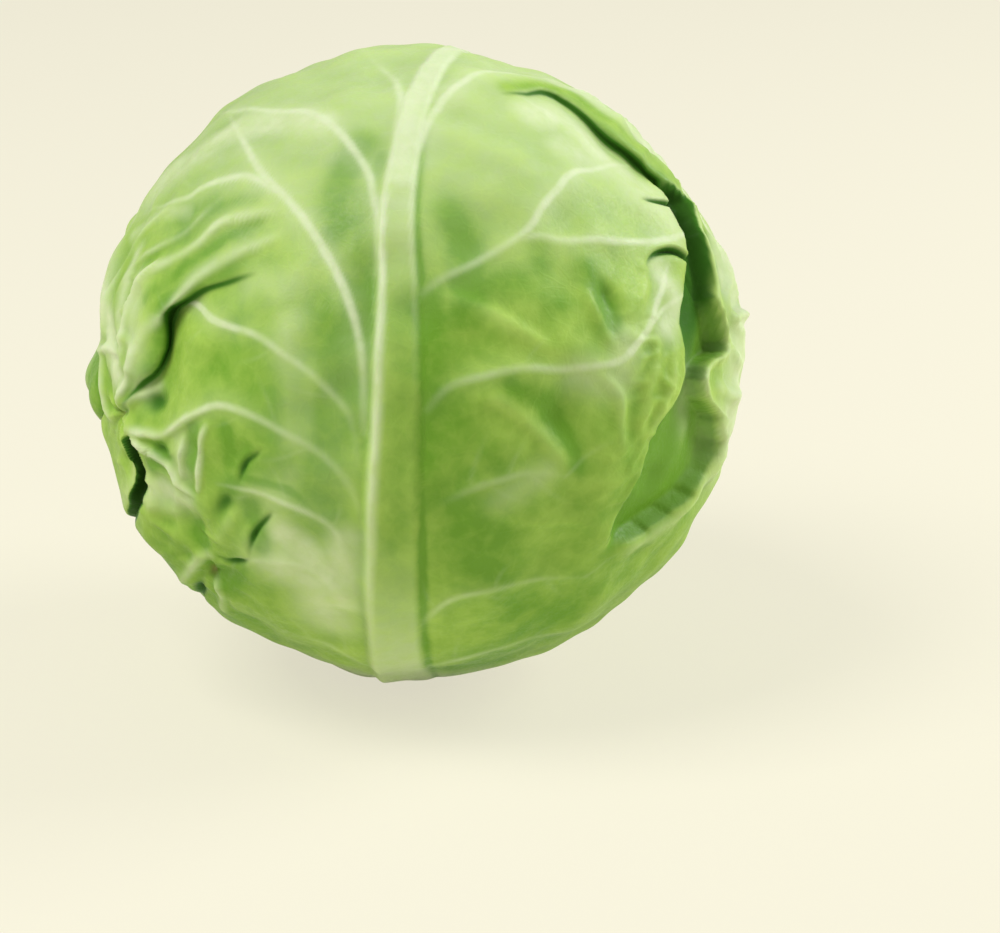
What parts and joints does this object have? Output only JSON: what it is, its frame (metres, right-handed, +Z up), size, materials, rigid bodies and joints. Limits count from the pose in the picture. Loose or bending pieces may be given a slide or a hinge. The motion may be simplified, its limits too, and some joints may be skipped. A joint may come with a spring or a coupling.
{
  "type": "white cabbage head",
  "caption": "Whole head of white cabbage standing on its cut stem: big veined wrapper leaves folded over nested head leaves, a tight heart and a tapering core",
  "frame": {"origin": "middle of the stem's cut face, on which the head stands", "axes": "+Z up along the stem and core, the front wrapper leaf faces -Y, +X to its right as seen from the front"},
  "size_m": [0.1777, 0.1778, 0.175],
  "materials": {
    "wrapper_leaf": "waxy fresh leaf, green blade with pale raised veins",
    "head_leaf": "satin pale green leaf",
    "heart_leaf": "satin cream leaf",
    "stem": "moist cut stem, cream with a green rind"
  },
  "bodies": {
    "root": {"front_wrapper_leaf": "wrapper_leaf", "right_wrapper_leaf": "wrapper_leaf", "left_wrapper_leaf": "wrapper_leaf", "head_leaf_1": "head_leaf", "head_leaf_2": "head_leaf", "head_leaf_3": "head_leaf", "head_leaf_4": "head_leaf", "head_leaf_5": "head_leaf", "head_leaf_6": "head_leaf", "head_leaf_7": "head_leaf", "head_leaf_8": "head_leaf", "head_leaf_9": "head_leaf", "heart": "heart_leaf", "stem": "stem"}
  },
  "joints": []
}
